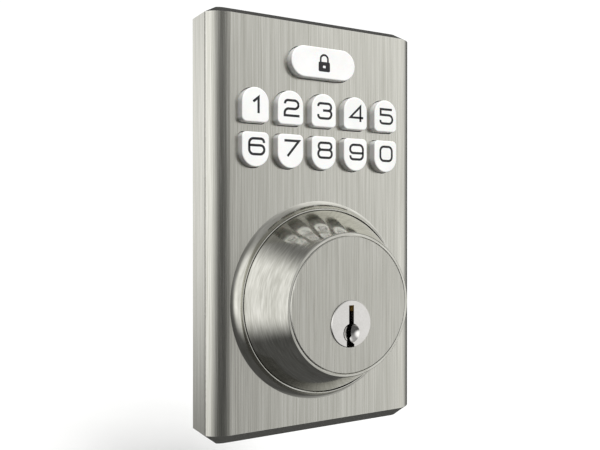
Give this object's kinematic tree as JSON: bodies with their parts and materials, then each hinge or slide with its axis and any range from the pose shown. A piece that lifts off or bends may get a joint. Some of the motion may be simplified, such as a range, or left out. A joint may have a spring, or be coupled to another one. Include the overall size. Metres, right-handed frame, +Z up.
{
  "type": "keypad smart lock",
  "caption": "Exterior unit of a keypad deadbolt: bevelled metal housing, digit keys, a pill-shaped lock button and a key cylinder in a conical guard sleeve.",
  "frame": {"origin": "on the door's face, at the axis of the key plug and its tailpiece", "axes": "+X right as seen from outside the door, +Y into the door, +Z up"},
  "size_m": [0.068, 0.0767, 0.1179],
  "materials": {
    "satin_nickel": "satin nickel plate, brushed",
    "plug_nickel": "polished nickel plate",
    "key_plastic": "moulded white plastic, fine satin",
    "brass": "machined",
    "spring_steel": "drawn wire and stamped strip",
    "zinc_steel": "zinc plated, passivated",
    "silicone": "translucent moulded silicone",
    "gold_contact": "gold flash on copper",
    "circuit_board": "solder mask on glass laminate",
    "black_plastic": "moulded",
    "white_nylon": "moulded",
    "black_rubber": "moulded",
    "foam_rubber": "closed-cell foam sheet"
  },
  "bodies": {
    "lock_body": {"front_cover": "satin_nickel", "rosette": "satin_nickel", "cylinder_body": "satin_nickel", "cylinder_screws": "zinc_steel", "chamber_cover": "brass", "driver_pins": "brass", "pin_springs": "spring_steel", "keypad_membrane": "silicone", "key_domes": "silicone", "contact_pads": "gold_contact", "circuit_board": "circuit_board", "controller_chip": "black_plastic", "buzzer": "black_plastic", "cable_socket": "white_nylon", "board_screws": "zinc_steel", "back_plate": "zinc_steel", "mounting_posts": "zinc_steel", "cover_screws": "zinc_steel", "cable_grommet": "black_rubber", "rear_gasket": "foam_rubber"},
    "lock_button": {"lock_button": "key_plastic"},
    "key_0": {"key_0": "key_plastic"},
    "key_1": {"key_1": "key_plastic"},
    "key_2": {"key_2": "key_plastic"},
    "key_3": {"key_3": "key_plastic"},
    "key_4": {"key_4": "key_plastic"},
    "key_5": {"key_5": "key_plastic"},
    "key_6": {"key_6": "key_plastic"},
    "key_7": {"key_7": "key_plastic"},
    "key_8": {"key_8": "key_plastic"},
    "key_9": {"key_9": "key_plastic"},
    "guard_sleeve": {"guard_sleeve": "satin_nickel"},
    "plug": {"plug": "plug_nickel", "key_pins": "brass", "plug_clip": "spring_steel", "tailpiece": "zinc_steel"}
  },
  "joints": [
    {"name": "lock_button_press", "type": "slide", "parent": "lock_body", "child": "lock_button", "axis": [0, 1, 0], "range_m": [0, 0.0011], "stiffness_N_per_m": 600, "springref_m": -0.0006, "deforming": ["key_domes"]},
    {"name": "key_0_press", "type": "slide", "parent": "lock_body", "child": "key_0", "axis": [0, 1, 0], "range_m": [0, 0.0011], "stiffness_N_per_m": 600, "springref_m": -0.0006, "deforming": ["key_domes"]},
    {"name": "key_1_press", "type": "slide", "parent": "lock_body", "child": "key_1", "axis": [0, 1, 0], "range_m": [0, 0.0011], "stiffness_N_per_m": 600, "springref_m": -0.0006, "deforming": ["key_domes"]},
    {"name": "key_2_press", "type": "slide", "parent": "lock_body", "child": "key_2", "axis": [0, 1, 0], "range_m": [0, 0.0011], "stiffness_N_per_m": 600, "springref_m": -0.0006, "deforming": ["key_domes"]},
    {"name": "key_3_press", "type": "slide", "parent": "lock_body", "child": "key_3", "axis": [0, 1, 0], "range_m": [0, 0.0011], "stiffness_N_per_m": 600, "springref_m": -0.0006, "deforming": ["key_domes"]},
    {"name": "key_4_press", "type": "slide", "parent": "lock_body", "child": "key_4", "axis": [0, 1, 0], "range_m": [0, 0.0011], "stiffness_N_per_m": 600, "springref_m": -0.0006, "deforming": ["key_domes"]},
    {"name": "key_5_press", "type": "slide", "parent": "lock_body", "child": "key_5", "axis": [0, 1, 0], "range_m": [0, 0.0011], "stiffness_N_per_m": 600, "springref_m": -0.0006, "deforming": ["key_domes"]},
    {"name": "key_6_press", "type": "slide", "parent": "lock_body", "child": "key_6", "axis": [0, 1, 0], "range_m": [0, 0.0011], "stiffness_N_per_m": 600, "springref_m": -0.0006, "deforming": ["key_domes"]},
    {"name": "key_7_press", "type": "slide", "parent": "lock_body", "child": "key_7", "axis": [0, 1, 0], "range_m": [0, 0.0011], "stiffness_N_per_m": 600, "springref_m": -0.0006, "deforming": ["key_domes"]},
    {"name": "key_8_press", "type": "slide", "parent": "lock_body", "child": "key_8", "axis": [0, 1, 0], "range_m": [0, 0.0011], "stiffness_N_per_m": 600, "springref_m": -0.0006, "deforming": ["key_domes"]},
    {"name": "key_9_press", "type": "slide", "parent": "lock_body", "child": "key_9", "axis": [0, 1, 0], "range_m": [0, 0.0011], "stiffness_N_per_m": 600, "springref_m": -0.0006, "deforming": ["key_domes"]},
    {"name": "guard_spin", "type": "hinge", "parent": "lock_body", "child": "guard_sleeve", "pos_m": [0, -0.02, 0.00505], "axis": [0, 1, 0], "continuous": true},
    {"name": "plug_turn", "type": "hinge", "parent": "lock_body", "child": "plug", "pos_m": [0, -0.015, 0], "axis": [0, 1, 0], "range_deg": [-90, 90]}
  ]
}
